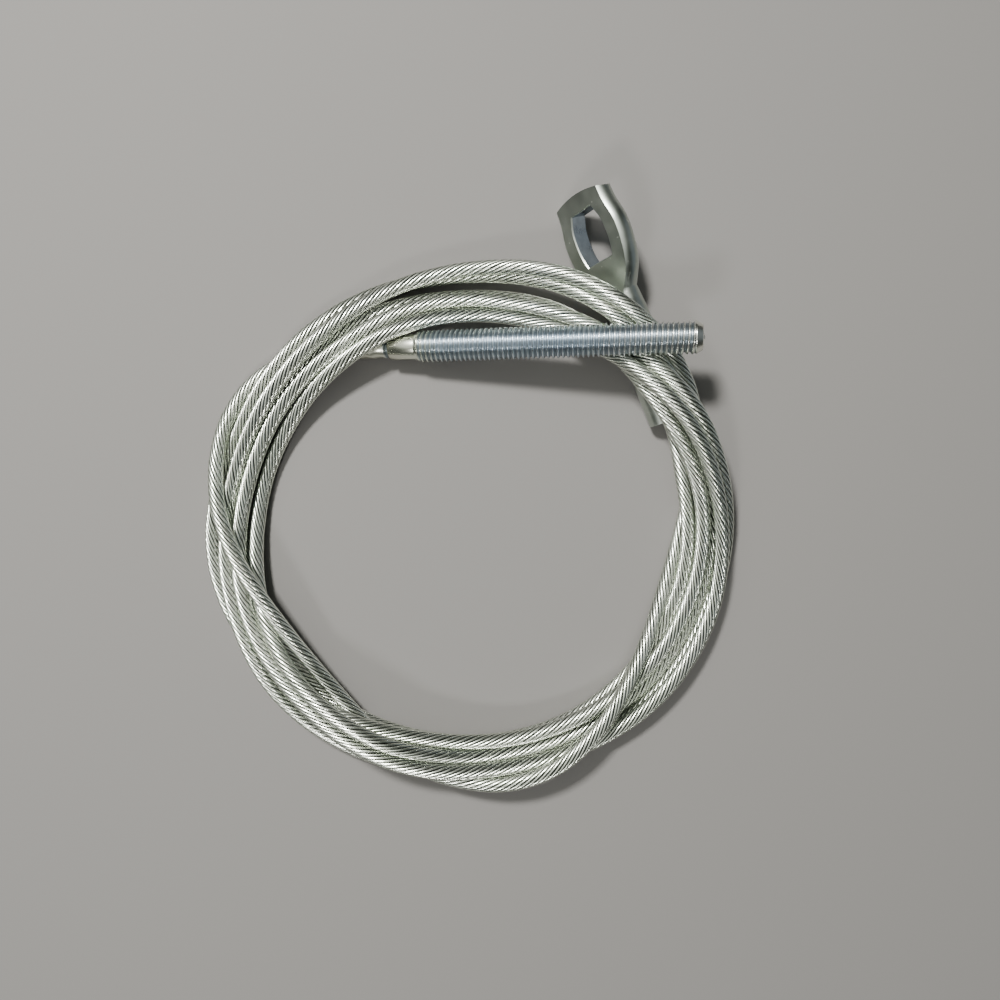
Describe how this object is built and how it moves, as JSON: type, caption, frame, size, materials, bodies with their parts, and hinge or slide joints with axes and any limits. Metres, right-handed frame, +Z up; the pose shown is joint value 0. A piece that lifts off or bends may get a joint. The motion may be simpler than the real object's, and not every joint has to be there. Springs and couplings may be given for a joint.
{
  "type": "coiled wire strand with eye and threaded stud terminals",
  "caption": "Long wire strand wound into a round coil, with a flattened slotted eye terminal on one end and a long threaded stud terminal on the other.",
  "frame": {"origin": "on the table, under the middle of the box around the two terminals", "axes": "+Z up from the table; +X along the stud, towards its tip as seen from above; +Y towards the eye's tip; the coil lies mostly at -Y"},
  "size_m": [0.219, 0.2422, 0.0372],
  "materials": {
    "eye_zinc": "dull galvanised, polished on its rims",
    "stud_zinc": "bright zinc plate",
    "strand_zinc": "bright galvanised wire"
  },
  "bodies": {
    "root": {"eye_terminal": "eye_zinc", "stud_terminal": "stud_zinc", "rope_coil": "strand_zinc", "rope_lead_eye": "strand_zinc", "rope_lead_stud": "strand_zinc", "eye_king_wire": "strand_zinc", "eye_inner_wires": "strand_zinc", "eye_outer_wires": "strand_zinc", "stud_king_wire": "strand_zinc", "stud_inner_wires": "strand_zinc", "stud_outer_wires": "strand_zinc"}
  },
  "joints": []
}
